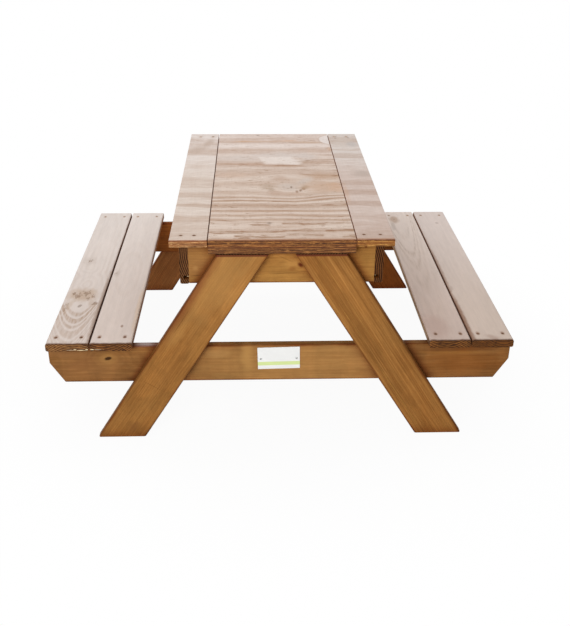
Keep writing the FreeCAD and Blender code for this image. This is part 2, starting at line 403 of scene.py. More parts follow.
def timber(node, grain, across, seed, pith, light, dark, gold, end_light, end_dark, spacing=0.0045,
           wander=0.012, contrast=0.4, streaks=0.5, mottle=0.06, blotch=0.03, knots=(), patches=(), cracks=(),
           tint=None, sweep=None, crown=0, between_legs=False, paled=None):
    """Dresses a node as planed softwood under a translucent stain.

    knots: (x, z, size). patches: as for Board.paint, and cracks the same without a colour. tint and sweep
    give the brightness by the place along and across the grain. crown is how far painted shade reaches
    down from a top end, where it meets the lid's batten. between_legs is for a board that the front legs
    cross, and paints their shadow beside them. mottle and blotch are how strong its clouds and the bands
    across its grain are. paled is what its side to the rear is multiplied by, to take a painted shade off it.
    """
    g = Graph(f"timber_{node}")
    board = Board(g, node, grain, across)
    knots = list(board.placed(knots, 1))
    rings = growth_rings(board, seed, pith, spacing, wander, knots)
    marks = knot_marks(board, knots)
    fibre = board.noise(seed + 7, 14, 800, detail=3, roughness=0.6)
    streak = board.noise(seed + 13, 2.6, 170, detail=5, roughness=0.75)
    thread = board.noise(seed + 15, 2.2, 330, detail=3, roughness=0.6)
    dash = board.noise(seed + 16, 26, 250, detail=3, roughness=0.65)
    broad = board.noise(seed + 17, 1.6, 34)
    cloud = board.noise(seed + 19, 16, 30, detail=4, roughness=0.6)
    bloom = board.noise(seed + 21, 5, 13, detail=3, distortion=0.6)
    bands = board.noise(seed + 24, 26, 11, detail=3, distortion=0.8)

    face = g.mix(rings * contrast, light, dark)
    face = g.mix(g.smooth(streak, 0.36, 0.62, 0, streaks), face, dark)
    face = g.mix(g.smooth(streak, 0.56, 0.7, 0, streaks), face, gold)
    face = g.mix(g.smooth(thread, 0.6, 0.7, 0, streaks), face, gold)
    face = g.mix(g.smooth(bloom, 0.4, 0.66, 0, 0.45), face, RED_BLOOM, "MULTIPLY")
    for noise, amount in ((broad, 0.05), (fibre, 0.045), (dash, 0.085), (cloud, mottle), (bands, blotch)):
        face = g.vary(face, noise, amount)
    for along, offset, size in knots:
        halo = board.spot(along, offset, 1.8 * size, size, 8) * g.smooth(cloud, 0.35, 0.65)
        face = g.mix(halo * 0.6, face, gold)
    ragged = board.noise(seed + 29, 30, 70, detail=3) - 0.5
    face = board.paint(face, patches, ragged * 1.2, 1.5, 0.2)
    if sweep:
        face = g.shade(face, g.curve(board.across, sweep))
    if tint:
        face = g.shade(face, g.curve(board.along, tint))
    if paled:
        face = g.mix(g.smooth(g.dot(g.normal, Y), 0.3, 0.7), face, paled, "MULTIPLY")
    face = g.mix(marks, face, g.shade(dark, 0.28))
    split = g.shade(dark, 0.45)
    cracks = [(*place_and_sizes, split, strength) for *place_and_sizes, strength in cracks]
    bend = board.noise(seed + 37, 20, 20) - 0.5
    face = board.paint(face, cracks, bend * 1.4, 1.2, 0.4)

    face = g.shade(face, g.smooth(board.across_normal, 0.5, 0.9, 1, NARROW_SIDE))
    face = g.mix(dark_arris(board), face, EDGE_AND_SHADE_RED, "MULTIPLY")
    # Painted shade: the wood darker and redder in corners, creases and narrow gaps
    crease_shade = g.smooth(g.openness(0.03), 0.95, 0.45, 0, 0.62)
    # Painted shadow of the front legs on the board, beside their outer edges
    if between_legs:
        crease_shade = g.most(shadow_beside_legs(g, (cloud - 0.5) * 0.008), crease_shade)
    face = g.mix(crease_shade, face, EDGE_AND_SHADE_RED, "MULTIPLY")
    # Painted shade just below the top end, under the lid's batten
    if crown:
        face = g.mix(g.smooth(top_of(node) - g.z, 1.3 * crown, 0.8 * crown, 0, 0.9), face, TOP_SHADE)

    end = g.mix(g.smooth(rings, 0.05, 0.5), end_light, end_dark)
    end = g.vary(end, board.noise(seed + 23, 300, 500), 0.2)
    end = g.vary(end, board.noise(seed + 27, 40, 40), 0.1)
    colour = g.mix(g.smooth(board.along_normal, 0.55, 0.75), face, end)
    height = rings * 0.4 + fibre * 0.5 - marks * 0.6
    dress(node, g.finish(colour, g.smooth(fibre, 0.2, 0.8, 0.47, 0.65), height, 0.0004, specular=0.05))


# Bench boards. What their colour is multiplied by for painted shade in the gaps, and the brown on the front
# of the top
GAP_SHADE = (0.56, 0.34, 0.25, 1)
FRONT_BROWN = tone(94, 57, 28)
FLECK = tone(136, 108, 86)
RUST = tone(140, 104, 80)
BENCH_GAP_AT = (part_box("bench_board_right_inner")[1].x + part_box("bench_board_right_outer")[0].x) / 2


def flecks(board, seed, places):
    """Ragged dark flecks in patches of the face, each (along, across, length, width, strength)."""
    g = board.graph
    grit = board.noise(seed, 76.5, 170, detail=3, roughness=0.7)
    total = 0
    for along, across, length, width, strength in places:
        patch = board.spot(along, across, length, width) * (0.42 * strength)
        total = g.most(g.smooth(grit + patch, 0.78, 0.92), total)
    return total


def growth_lines(board, seed, whorls, wander, spacing):
    """Growth lines, from 0 to 1, as contours of the distance from the nearest whorl.

    A whorl is (x, y, stretch towards the front, stretch towards the rear, power), and a power under 2
    makes its arches pointed.
    """
    g = board.graph
    field = None
    for along, offset, front, rear, power in board.placed(whorls, 0):
        u = board.along - along
        u = u / g.smooth(u, -0.012, 0.012, front, rear)
        v = board.across - offset
        reach = (abs(u) ** power + abs(v) ** power) ** (1 / power)
        field = reach if field is None else g.math("SMOOTH_MIN", field, reach, 0.02)
    drift = board.noise(seed, 7, 22, detail=3) - 0.5
    small = board.noise(seed + 2, 30, 70) - 0.5
    phase = (field + (drift * wander + small * (0.25 * wander))) / spacing
    turn = g.math("FRACT", phase)
    lines = g.smooth(turn, 0.15, 0.66) * g.smooth(turn, 1, 0.78)
    uneven = g.smooth(g.noise(g.point(phase * 0.7, seed, 0)), 0.3, 0.7, 0.3, 1)
    return lines, uneven


def arched(board, seed, figure, x, y, left_bend, right_bend, bands):
    """The figure with arches in front of (x, y), whose arms run back along the board.

    left_bend and right_bend say how fast they run back, bands how dark they are by their distance.
    """
    g = board.graph
    along, offset = next(board.placed([(x, y)]))
    ahead = along - board.along
    v = board.across - offset
    tip = ahead + v * v * g.smooth(v, -0.008, 0.008, left_bend, right_bend)
    tip = tip + (board.noise(seed + 4, 16, 45, detail=3) - 0.5) * 0.014
    fine = g.smooth(board.noise(seed + 6, 30, 200, detail=3), 0.35, 0.65, 0.5, 1.1)
    return g.mix(g.smooth(ahead, -0.03, 0.004), figure, g.curve(tip, bands) * fine)


def bench_board(node, seed, near, far, late, whorls, plain, side, end_light, end_dark, pith, spacing=0.01,
                wander=0.008, arches=None, patches=(), specks=(), knots=(), torn=(), side_front=FRONT_BROWN):
    """Dresses a bench board: stained and then paled by the sun on top, and raw brown at its ends.

    near and far are its top's colours at the front and the rear end, late its late wood's shade of them.
    plain gives how strong the figure is by the place along the board. arches: as for arched. knots:
    (x, y, size). patches: as for Board.paint. specks: (x, y, half-length, half-width, strength). torn: (x,
    z, half-length, half-height, colour), torn fibres on the front end. side is its long sides' colour,
    side_front that of their first centimetres.
    """
    g = Graph(f"bench_{node}")
    board = Board(g, node, Y, X)
    half = board.half["along"]
    fibre = board.noise(seed + 7, 12, 700, detail=3, roughness=0.6)
    streak = board.noise(seed + 13, 2.4, 120, detail=4, roughness=0.6)
    dash = board.noise(seed + 16, 34, 150, detail=3)
    cloud = board.noise(seed + 19, 5, 16, detail=3)
    lines, uneven = growth_lines(board, seed, whorls, wander, spacing)
    figure = lines * uneven * g.curve(board.along, plain)
    if arches:
        figure = arched(board, seed, figure, *arches)

    # The top runs from its near to its far colour: partly the wood's own, partly painted light, paler towards
    # the rear end
    top = g.mix(figure, g.mix(g.smooth(board.along, -half, half), near, far), late)
    for noise, amount in ((streak, 0.026), (fibre, 0.014), (dash, 0.022), (cloud, 0.022)):
        top = g.vary(top, noise, amount)
    ragged = board.noise(seed + 29, 40, 70, detail=3) - 0.5
    top = board.paint(top, patches, ragged * 1.1, 1.4, 0.4)
    top = g.mix(flecks(board, seed + 41, board.placed(specks)) * 0.65, top, FLECK)
    top = g.mix(knot_marks(board, board.placed(knots, 1)) * 0.6, top, g.shade(late, 0.55))
    stain = 0
    for screw in screws_in(node):
        along, offset = board.place(screw.head)
        run = board.spot(along + 0.4 * screw.radius, offset, 2.2 * screw.radius, 1.2 * screw.radius)
        stain = g.most(run, stain)
    rusty = g.smooth(board.along, -half, half, 0.6, 0.2)
    top = g.mix(g.smooth(stain, 0.1, 0.8) * rusty, top, RUST)
    top = g.shade(top, g.smooth(board.inset("across"), 0, 0.004, 0.93, 1))
    from_front = board.along + half + (board.noise(seed + 5, 40, 60) - 0.5) * 0.008
    top = g.mix(g.smooth(from_front, 0, 0.008, 0.9, 0), top, FRONT_BROWN)

    flank = g.mix(g.smooth(from_front, 0.01, 0.04, 0.9, 0), side, side_front)
    # Painted light: the long sides up to half again as light towards the rear end
    flank = g.shade(flank, g.smooth(board.along, -0.1, half, 1, 1.5))
    flank = g.vary(g.vary(flank, streak, 0.1), cloud, 0.06)
    upward = g.dot(g.normal, Z) + (board.noise(seed + 3, 25, 200) - 0.5) * 0.3
    face = g.mix(g.smooth(upward, 0.25, 0.6), flank, top)
    # Painted shade in the gaps between the boards, strongest near the front end
    narrow = g.smooth(board.along, -half, half, 0.75, 0.3) * g.smooth(from_front, 0, 0.03)
    face = g.mix(g.smooth(g.openness(0.01), 0.7, 0.3, 0, narrow), face, GAP_SHADE, "MULTIPLY")

    rings = growth_rings(board, seed, pith, 0.004, 0.008)
    run = board.noise(seed + 25, 30, 60, 420, detail=3, roughness=0.6) - 0.5
    end = g.mix(g.smooth(rings * 1.8 + run * 2.4, 0.05, 0.75), end_light, end_dark)
    end = g.vary(end, board.noise(seed + 23, 300, 500), 0.14)
    end = g.vary(end, board.noise(seed + 27, 22, 22), 0.18)
    end = g.shade(end, g.smooth(abs(abs(g.x) - BENCH_GAP_AT), 0.003, 0.02, 0.74, 1))
    end = g.mix(g.smooth(top_of(node) - g.z, 0.004, 0.002, 0, 0.45), end, end_dark)
    shred = board.noise(seed + 33, 20, 260, 900, detail=3, roughness=0.7) - 0.5
    for x, z, length, height, colour in torn:
        reach = g.length((g.x - x * MM) / (length * MM), (g.z - z * MM) / (height * MM))
        end = g.mix(g.smooth(reach + shred * 3, 1.15, 0.5, 0, 0.9), end, colour)

    colour = g.mix(g.smooth(board.along_normal, 0.55, 0.75), face, end)
    height = lines * 0.3 + fibre * 0.6
    dress(node, g.finish(colour, g.smooth(fibre, 0.2, 0.8, 0.62, 0.78), height, 0.0003, specular=0.15))


# Plywood. Its front edge sends a brown line onto the face, with a warm band behind it
PLIES = 5
EDGE_LINE = tone(96, 50, 24)
EDGE_GLOW = tone(160, 106, 62)
TORN = tone(150, 110, 78)
INLAY = tone(226, 213, 204)
GAP_EDGE_LIGHT = tone(200, 132, 90)
GAP_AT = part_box("top_strip_right")[0].x


def ply_edge(sheet, seed, low, high, line, light, dark, glow, levels=None, run_tint=None):
    """Colour of a plywood's sawn edge: alternate plies, dark glue lines, and torn chips that glow.

    levels: brightness by height, from 0 at the bottom to 1. run_tint: brightness by x. line is the colour
    of its upper arris.
    """
    g = sheet.graph

    def grain(waves, height, shift=0, **options):
        vector = g.point(sheet.along * waves + shift, sheet.across * waves, height)
        return g.noise(vector, **options)

    rise = (g.z - low) / (high - low)
    wave = (grain(18, seed) - 0.5) * 0.07
    stack = (rise + wave) * PLIES
    pair = g.math("FRACT", stack * 0.5 + 0.5)
    cross = g.smooth(pair, 0.46, 0.54) * g.smooth(pair, 1, 0.96)
    glue = g.smooth(abs(g.math("FRACT", stack + 0.5) - 0.5), 0.16, 0.05)
    run = grain(9, stack * 3.2, detail=4, roughness=0.65)
    chip = grain(62, stack * 2.6, seed, detail=4, roughness=0.65)

    edge = g.mix(cross * 0.7 * g.smooth(rise, 0.2, 0.4), light, dark)
    edge = g.vary(g.vary(edge, run, 0.42), grain(16, rise * 1.2), 0.16)
    if levels:
        edge = g.shade(edge, g.curve(rise + wave, levels, unit=1))
    if run_tint:
        edge = g.shade(edge, g.curve(g.x, run_tint))
    edge = g.mix(g.smooth(chip, 0.54, 0.62, 0, 0.95), edge, glow)
    edge = g.mix(g.smooth(chip, 0.45, 0.36, 0, 0.9), edge, g.shade(dark, 0.55))
    edge = g.mix(glue * g.smooth(run, 0.35, 0.6, 0.5, 1), edge, g.shade(dark, 0.32))
    return g.mix(g.smooth(rise, 0.8, 0.9, 0, g.smooth(chip, 0.36, 0.62, 1, 0.45)), edge, line)


def outside(g, corners):
    """How far outside an outline a place is, below 0 inside. Its corners, (x, y), go round clockwise."""
    far = None
    for (ax, ay), (bx, by) in zip(corners, corners[1:] + corners[:1]):
        out = Vector((ay - by, bx - ax)).normalized()
        away = g.x * out.x + g.y * out.y - (ax * out.x + ay * out.y) * MM
        far = away if far is None else g.most(far, away)
    return far


def plywood(node, seed, pale, tan, growth, edge, line=EDGE_LINE, line_reach=5, warp=(0.01, 0.003), lines=0.5,
            rise=(), arches=(), spots=(), lenses=(), patch=None, roughs=(), specks=(),
            shift=((1, 1, 1), (1, 1, 1))):
    """Dresses a node as weathered softwood plywood, its face grain along X.

    growth: how tan it is by y. warp: how far broad and small waves push it, in metres. rise: (x from, x
    to, y, half-width, lift) where the lines climb to the right. arches: (x, y, half-length, half-width,
    strength), where the lines part round an eye. spots: as for Board.paint. roughs: (y, half-width, x
    from, x to, strength), broken dark dashes. Pieces let into the veneer: lenses are (x, y, half-length,
    half-width), oval, and patch is the corners of another. specks: (x, y, size). edge: as for ply_edge,
    whose line goes line_reach onto the face. shift is what the face's colour is multiplied by at the
    front and at the rear.
    """
    g = Graph(f"plywood_{node}")
    sheet = Board(g, node, X, Y)
    low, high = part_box(node)

    broad = sheet.noise(seed, 4, 7, 0) - 0.5
    small = sheet.noise(seed + 5, 11, 24, 0, detail=3) - 0.5
    place = g.y + (broad * (2.5 * warp[0]) + small * (2.5 * warp[1]))
    for start, end, middle, width, lift in rise:
        share = g.bell((g.y - middle * MM) / (width * MM)) * g.smooth(g.x, start * MM, end * MM)
        place = place - share * (lift * MM)
    for along, across, length, width, strength in sheet.placed(arches):
        eye = across + sheet.middle["across"]
        parted = 1 - sheet.spot(along, across, length, width) * strength
        place = (place - eye) * parted + eye

    def figured(along, across, seed, **options):
        """Noise that runs with the growth lines."""
        return g.noise(g.point(sheet.along * along, place * across, seed), **options)

    grain = figured(4.5, 210, seed, detail=5, roughness=0.78)
    fibre = figured(40, 600, seed, detail=3, roughness=0.7)
    fleck = figured(30, 130, seed + 8, detail=4, roughness=0.7)
    dash = figured(32, 330, seed + 33, detail=4, roughness=0.7)
    cloud = sheet.noise(seed + 9, 6, 12, 0, detail=3)
    depth = g.curve(place, growth) + (grain - 0.5) * (2 * lines)
    depth = depth + (fleck - 0.5) * 0.9 + (cloud - 0.5) * 0.35
    face = g.mix(depth, pale, tan)
    face = g.mix(g.smooth(depth, 0.95, 1.5), face, g.shade(tan, 0.8))

    ragged = (sheet.noise(seed + 3, 26, 60, 0, detail=4, roughness=0.6) - 0.5) * 1.5
    face = sheet.paint(face, spots, ragged, 1.6, 0.3)
    inlaid = g.vary(INLAY, g.noise(g.point(g.x * 20, g.y * 260, 3), detail=3), 0.03)
    for lens in sheet.placed(lenses):
        away = sheet.reach(*lens) - 1
        face = g.mix(g.smooth(away, 0.16, 0.06, 0, 0.3), face, g.shade(tan, 0.95))
        face = g.mix(g.smooth(away + ragged * 0.06, 0.08, -0.08, 0, 0.9), face, g.shade(inlaid, 0.96))
    if patch:
        away = outside(g, patch) + ragged * 0.024
        face = g.mix(g.smooth(away, 0.008, -0.008, 0, 0.9), face, inlaid)
    for middle, width, start, end, strength in roughs:
        share = g.bell((place - middle * MM) / (width * MM))
        starts = g.smooth(g.x, (start - 10) * MM, start * MM)
        ends = g.smooth(g.x, (end + 10) * MM, end * MM)
        rough = share * starts * ends
        face = g.mix(rough * (0.3 * strength), face, g.shade(tan, 0.92))
        face = g.mix(g.smooth(dash + rough * (0.22 * strength), 0.62, 0.72, 0, 0.8), face, TORN)
    face = g.vary(face, fibre, 0.04)
    face = g.vary(face, sheet.noise(seed + 12, 240, 16, 0, detail=3), 0.02)
    stain = 0
    for screw in screws_in(node):
        ring = sheet.spot(*sheet.place(screw.head), 1.5 * screw.radius, 1.8 * screw.radius)
        stain = g.most(ring, stain)
    face = g.mix(stain * 0.45, face, g.shade(tan, 0.75))
    for along, across, size in sheet.placed(specks, 1):
        face = g.mix(sheet.spot(along, across, size, size) * 0.8, face, g.shade(tan, 0.45))
    from_front = g.y - low.y + (fleck - 0.5) * 0.008
    face = g.mix(g.smooth(from_front, 0, line_reach * MM, 0.85, 0), face, EDGE_GLOW)
    face = g.mix(g.smooth(from_front, 0, 0.003, 0.7, 0), face, line)
    # Painted sheen: the face paler and bluer towards the rear end
    front, rear = ((*amount, 1) for amount in shift)
    face = g.mix(1, face, g.mix(g.smooth(g.y, -0.05, 0.35), front, rear), "MULTIPLY")

    sawn = ply_edge(sheet, seed, low.z, high.z, line, **edge)
    # Painted light: the sawn edges facing the gaps beside the lid, lighter and redder where they stand in
    # shade
    beside_gap = g.smooth(abs(g.x), GAP_AT + 0.01, GAP_AT + 0.005)
    faces_gap = g.smooth(abs(g.dot(g.normal, X)), 0.5, 0.8)
    sawn = g.mix(beside_gap * faces_gap * 0.75, sawn, GAP_EDGE_LIGHT)
    colour = g.mix(g.smooth(abs(g.dot(g.normal, Z)), 0.65, 0.5), face, sawn)
    height = depth * 0.25 + (grain * 0.3 + fibre * 0.3)
    dress(node, g.finish(colour, g.smooth(fibre, 0.2, 0.8, 0.62, 0.76), height, 0.0004, specular=0.25))


# Stain colours
STAIN = dict(light=tone(161, 112, 58), dark=tone(128, 82, 37), gold=tone(169, 123, 62),
             end_light=tone(120, 84, 52), end_dark=tone(56, 34, 19))
RAIL = dict(light=tone(148, 104, 58), dark=tone(115, 73, 36), gold=tone(166, 124, 67),
            end_light=tone(120, 84, 52), end_dark=tone(56, 34, 19))
HONEY = dict(light=tone(164, 118, 60), dark=tone(132, 89, 43), gold=tone(173, 131, 68),
             end_light=tone(124, 90, 58), end_dark=tone(58, 36, 21))
# SHADED is a darker, redder copy of the stain for the rear legs and rail: painted shade of the table over
# them
SHADED = dict(light=tone(152, 90, 40), dark=tone(117, 63, 26), gold=tone(161, 101, 47),
              end_light=tone(116, 80, 50), end_dark=tone(58, 35, 20))
REDDISH = tone(116, 66, 34)
# What the faces of these turned to the rear are multiplied by, taking the painted shade off them
REAR_UNSHADED = (1.15, 1.45, 1.7, 1)


# Legs: straight grain, the pith well to one side
def leg(node, seed, pith, stain, **marks):
    side = -1 if "left" in node else 1
    grain = Vector((-side * math.sin(LEG_LEAN), 0, math.cos(LEG_LEAN)))
    timber(node, grain, Y.cross(grain), seed, pith, **stain, **marks)


leg("leg_front_left", 3, (0.11, 0.05, 0.03, 0.02), STAIN, streaks=0.4, contrast=0.35, mottle=0.11,
    crown=0.004, tint={-294: 0.9, -270: 0.9, -100: 0.89, 60: 0.93, 180: 1.11, 270: 1, 294: 1.13},
    sweep={-45.75: 0.86, -40: 1, -25: 1, -5: 0.96, 10: 0.97, 35: 1.05, 45.75: 0.97}, blotch=0.05,
    cracks=[(-214, 300, 52, 1.2, 0, 0.6), (-282, 133, 1, 36, 0, 0.35)],
    patches=[(-333, 152, 8, 3, 0, tone(206, 172, 120), 0.7), (-337, 25, 17, 10, 0, tone(128, 84, 44), 0.7),
             (-130, 390, 120, 50, 0, tone(160, 118, 66), 0.6),
             (-197, 354, 130, 15, 0, tone(122, 68, 36), 0.75),
             (-228, 262, 35, 14, 0, tone(184, 136, 76), 0.3)])
leg("leg_front_right", 8, (-0.1, 0.04, 0.02, 0.01), STAIN, streaks=0.9, contrast=0.4, mottle=0.05,
    crown=0.004, tint={-294: 1.11, -270: 1.11, -180: 1.09, 0: 0.92, 170: 1.12, 270: 1, 294: 1.12},
    sweep={-45.75: 0.92, -40: 1.03, -25: 0.93, -8: 0.97, 5: 0.99, 22: 0.9, 38: 0.86, 45.75: 0.74})
# The rear legs: painted shade, a little less of it towards their feet, and less on their faces to the rear
leg("leg_rear_left", 13, (0.12, -0.03, 0.02, 0.02),
    {**SHADED, "light": tone(154, 102, 58), "dark": tone(119, 73, 38), "gold": tone(162, 111, 64)},
    streaks=0.6, tint={-294: 1.25, -270: 1.25, 270: 1, 294: 1.25}, paled=(0.95, 1.1, 1.1, 1))
leg("leg_rear_right", 18, (-0.09, -0.05, 0.03, 0.02), SHADED, streaks=0.6,
    tint={-294: 1.12, -270: 1.12, 270: 1, 294: 1.12}, paled=REAR_UNSHADED)

# Cross rails
timber("bench_rail_front", X, Z, 41, (0.03, 0.09, 0.02, 0.01), **RAIL, streaks=0.6, mottle=0.13,
    between_legs=True, blotch=0.14,
    tint={-510: 0.9, -420: 0.93, -340: 0.92, -200: 1.01, -120: 1.14, 100: 1.31, 200: 1.27, 280: 1,
          340: 0.91, 510: 0.84}, knots=[(-382.5, 197, 16)],
    patches=[(-384, 200, 18, 13, 20, tone(182, 134, 72), 0.45),
             (-76, 196, 14, 36, 0, tone(180, 136, 76), 0.6),
             (-440, 182, 40, 16, 10, tone(128, 82, 44), 0.4),
             (-470, 212, 50, 12, 0, tone(166, 120, 74), 0.4),
             (-150, 207, 30, 12, 0, tone(184, 140, 86), 0.4), (300, 152, 30, 12, 0, tone(128, 80, 40), 0.5),
             (200, 152, 22, 14, 0, tone(126, 80, 40), 0.5), (400, 150, 80, 12, 0, tone(158, 108, 60), 0.5),
             (10, 180, 300, 60, 0, tone(150, 112, 64), 0.5),
             (-430, 180, 90, 50, 0, tone(140, 96, 58), 0.35), (392, 216, 90, 10, 0, REDDISH, 0.45),
             (400, 203, 70, 4, 0, tone(172, 122, 62), 0.6), (410, 180, 110, 40, 0, tone(146, 83, 30), 0.5),
             (-298, 228, 26, 2.5, 0, tone(176, 160, 158), 0.85)])
# The rear rail: painted shade, darker still towards its right end, and less on its face to the rear
timber("bench_rail_rear", X, Z, 47, (0.06, 0.05, 0.02, 0.02), **SHADED, paled=REAR_UNSHADED,
    tint={-510: 1.08, 100: 1, 250: 0.68, 510: 0.68})

# Play box
timber("box_end_front", X, Z, 53, (-0.03, 0.06, 0.03, 0.02), **HONEY, streaks=0.5, mottle=0.1,
    between_legs=True, blotch=0.08, tint={-196: 0.95, -150: 0.94, -100: 1, 0: 1.11, 100: 1.1, 196: 1},
    patches=[(28, 424, 26, 10, 12, tone(184, 134, 72), 0.6), (22, 411, 8, 6, 20, tone(136, 88, 42), 0.8),
             (39, 421, 7, 4.5, -40, tone(92, 36, 16), 0.95), (-182, 415, 6, 6, 15, tone(190, 146, 84), 0.6),
             (-205, 460, 50, 12, 0, tone(140, 92, 56), 0.4),
             (-178, 425, 40, 40, 0, tone(158, 110, 66), 0.5), (176, 461, 3, 2, 0, tone(96, 40, 20), 0.9)],
    cracks=[(-183, 397, 16, 1.2, 3, 0.6), (-60, 399, 30, 1.2, 0, 0.35), (5, 436, 20, 1.2, -25, 0.35),
            (12, 402, 45, 1.2, 4, 0.35)])
timber("box_end_rear", X, Z, 59, (0.03, 0.05, 0.03, 0.02), **HONEY)
for seed, node, pith, shades in (
        (61, "box_side_left", (0.03, 0.13, 0.01, 0.01), (tone(112, 72, 41), tone(38, 22, 11))),
        (67, "box_side_right", (-0.02, -0.14, 0.01, 0.01), (tone(104, 63, 32), tone(38, 19, 8)))):
    timber(node, Y, Z, seed, pith, **{**STAIN, "end_light": shades[0], "end_dark": shades[1]},
           wander=0.006, spacing=0.0042)

# Bench boards
CREAM = tone(222, 200, 158)
ASHEN = tone(166, 150, 124)
bench_board("bench_board_left_outer", 71, tone(213, 200, 192), tone(228, 217, 210), tone(176, 150, 130),
    [(-469, -214, 1.8, 2.2, 1.8), (-470, -96, 2, 2, 2), (-480, 2, 1.5, 12, 1.9)],
    {-396: 0.2, -240: 0.2, -200: 0.2, -120: 0.14, -20: 0.18, 100: 0.1, 396: 0.1}, tone(118, 82, 60),
    tone(154, 109, 63), tone(62, 31, 11), (0.02, -0.065, 0, 0.05), wander=0.018, spacing=0.013,
    arches=(-466, -215, 42, 78,
            {0: 0, 30: 0.05, 40: 0.75, 48: 0.7, 55: 0.1, 62: 0, 67: 0.85, 75: 0.9, 84: 0.75, 90: 0.05,
             96: 0.1, 102: 0.7, 109: 0.65, 115: 0.05, 121: 0.05, 126: 0.5, 146: 0.55, 154: 0.45, 160: 0.05,
             166: 0.05, 172: 0.4, 182: 0.4, 188: 0.05, 200: 0.45, 208: 0.05, 220: 0.5, 230: 0.05, 245: 0.5,
             258: 0.05, 275: 0.45, 290: 0.05, 310: 0.4, 330: 0.05, 360: 0.35}),
    side_front=tone(168, 120, 82),
    torn=[(-449, 231.5, 3.5, 1.6, CREAM), (-436, 229.7, 9, 1.2, CREAM), (-423.5, 231.2, 3, 1.8, CREAM),
          (-458, 230.2, 10, 0.9, ASHEN)],
    patches=[(-472, -154, 34, 36, 0, tone(188, 162, 138), 0.7),
             (-424, -200, 200, 4, 0, tone(160, 136, 118), 0.6),
             (-494, -205, 40, 7, 8, tone(194, 173, 154), 0.55),
             (-441, -205, 24, 8, -12, tone(190, 168, 150), 0.5),
             (-490, 45, 28, 18, 0, tone(203, 189, 179), 0.5),
             (-475, 5, 22, 12, 0, tone(224, 212, 203), 0.6)],
    specks=[(-470, -152, 30, 36, 0.86), (-436, -200, 12, 11, 1.15), (-446, -162, 14, 8, 1.1),
            (-494, -148, 14, 6, 1.1), (-488, 45, 35, 22, 0.6), (-500, -222, 30, 9, 0.9),
            (-482, -162, 16, 12, 1.1), (-456, -174, 16, 8, 1.1)], knots=[(-469, -214, 14)])
bench_board("bench_board_left_inner", 76, tone(211, 196, 187), tone(229, 218, 211), tone(194, 172, 154),
    [(-374, -30, 4.5, 4.5, 2), (-362, 620, 8, 2, 1.6)], {-396: 0.05, -120: 0.1, 100: 0.1, 396: 0.06},
    tone(145, 101, 70), tone(134, 85, 40), tone(47, 21, 6), (-0.01, 0.09, 0.02, 0.03), spacing=0.016,
    wander=0.02, torn=[(-412, 231.4, 6, 1.3, CREAM), (-400, 231.2, 10, 0.9, ASHEN)],
    patches=[(-357, -316, 6, 3, 0, tone(140, 112, 94), 0.8),
             (-405, -35, 20, 6, 0, tone(196, 182, 172), 0.6),
             (-330, -240, 130, 6, 0, tone(206, 180, 152), 0.5)], specks=[(-410, -32, 14, 6, 0.75)])
bench_board("bench_board_right_inner", 81, tone(200, 180, 169), tone(238, 223, 213), tone(172, 148, 128),
    [(362, 360, 9, 2, 1.7)], {-396: 0.04, 20: 0.08, 100: 0.16, 396: 0.14}, tone(160, 130, 100),
    tone(137, 87, 38), tone(48, 21, 5), (0, 0.085, 0.02, 0.02), spacing=0.014, wander=0.014,
    arches=(366, 360, 200, 200,
            {0: 0.05, 120: 0.05, 170: 0.25, 200: 0.05, 260: 0.1, 285: 0.5, 310: 0.1, 360: 0.4, 400: 0.1,
             480: 0.25, 540: 0.05, 620: 0.15, 800: 0.05}),
    patches=[(355, 336, 28, 14, 0, tone(184, 154, 130), 0.7),
             (350, -330, 60, 30, 0, tone(184, 156, 144), 0.5),
             (345, 280, 30, 6, 0, tone(190, 176, 166), 0.5)], knots=[(355, 336, 5)])
bench_board("bench_board_right_outer", 86, tone(204, 186, 173), tone(226, 211, 203), tone(188, 166, 150),
    [(520, 900, 11, 4, 1.8)], {-396: 0.1, 396: 0.06}, tone(142, 106, 82), tone(129, 78, 29),
    tone(50, 24, 6), (0.03, 0.07, 0.02, 0.02), spacing=0.018, wander=0.03,
    patches=[(468, -384, 10, 18, 40, tone(168, 142, 128), 0.6),
             (422, -320, 160, 7, 0, tone(142, 108, 88), 0.85),
             (421, -40, 200, 6, 0, tone(158, 128, 110), 0.6),
             (427, -130, 16, 5, 0, tone(180, 162, 150), 0.6),
             (476, 305, 8, 5, 0, tone(190, 172, 162), 0.6)])


# Tabletop: the lid's figure is one peak of the tree's cone, with boat-shaped patches let into the veneer
PALE = tone(222, 206, 195)
TAN = tone(178, 146, 124)
ORANGE = tone(206, 160, 124)
GREYED = tone(205, 191, 182)
BROWNED = tone(188, 158, 138)
LID_GROWTH = {-396: 0.5, -380: 0.4, -366: 0.3, -350: 0.45, -338: 0.55, -325: 0.2, -312: 0.15, -298: 0.4,
              -288: 0.3, -281: 0.75, -275: 0.7, -269: 0.15, -262: 0.2, -257: 0.7, -249: 0.75, -243: 0.15,
              -236: 0.1, -229: 0.8, -221: 0.8, -214: 0, -209: 0.4, -199: 0.6, -186: 0.65, -176: 0.5,
              -171: -0.1, -164: 0.3, -158: 1.1, -152: 0.5, -147: -0.05, -141: 0.6, -135: 0.9, -129: 0.4,
              -121: 0.1, -112: 0.45, -100: 0.5, -88: 0.25, -70: 0.1, -50: 0.45, -32: 0.45, -15: 0.15,
              5: 0.2, 20: 0.5, 45: 0.5, 66: 0.4, 78: 0.2, 88: 0.45, 112: 0.6, 124: 0.5, 145: 0.35,
              170: 0.25, 186: 0.25, 197: 0.15, 208: 0.45, 224: 0.62, 244: 0.6, 256: 0.35, 270: 0.08,
              286: 0.08, 300: 0.3, 312: 0.72, 322: 0.6, 330: 0.5, 346: 0.55, 358: 0.25, 372: 0.3, 396: 0.45}
